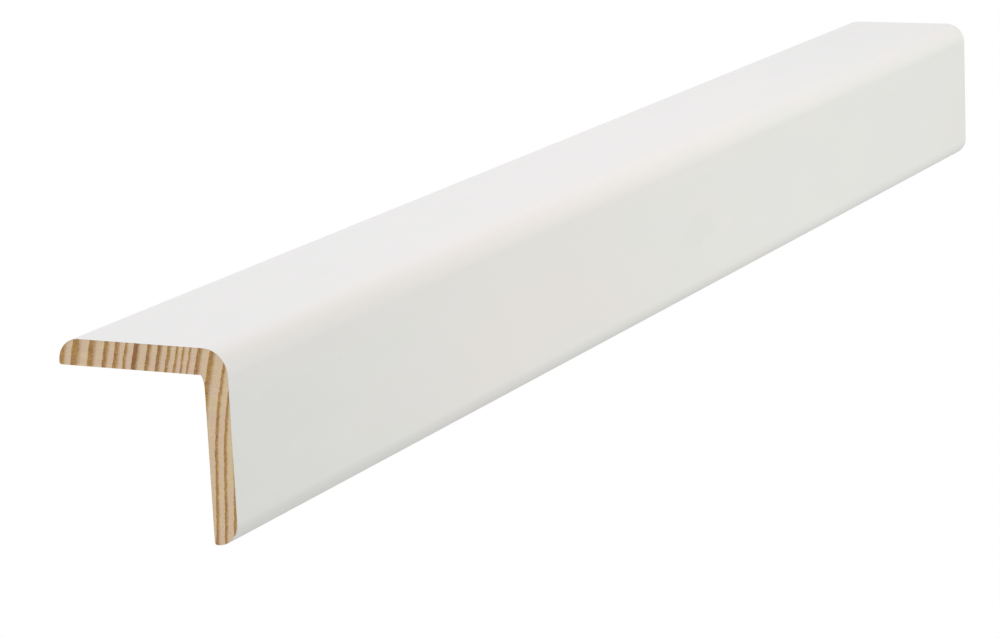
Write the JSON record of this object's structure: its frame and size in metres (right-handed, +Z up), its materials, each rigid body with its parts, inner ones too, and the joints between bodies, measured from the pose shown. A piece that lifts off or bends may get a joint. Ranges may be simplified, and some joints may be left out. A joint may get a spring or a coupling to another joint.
{
  "type": "corner moulding",
  "caption": "Painted pine angle moulding with a rounded outer corner and rounded leg tips, cut square, that covers the outside corner of a wall or boxing.",
  "frame": {"origin": "on the line where the two inner faces would meet, at mid-length: the sharp edge of the wall that the moulding covers", "axes": "+Y along the length, away from the near end; +Z up, out of the top leg's outer face; +X out of the front leg's outer face, so the legs reach towards -X and -Z"},
  "size_m": [0.043, 0.48, 0.044],
  "materials": {
    "painted_pine": "satin white paint on the outer faces, the rounds and the leg tips; bare sawn end grain at both cuts and bare planed wood on the two inner faces"
  },
  "bodies": {
    "root": {"corner_moulding": "painted_pine"}
  },
  "joints": []
}
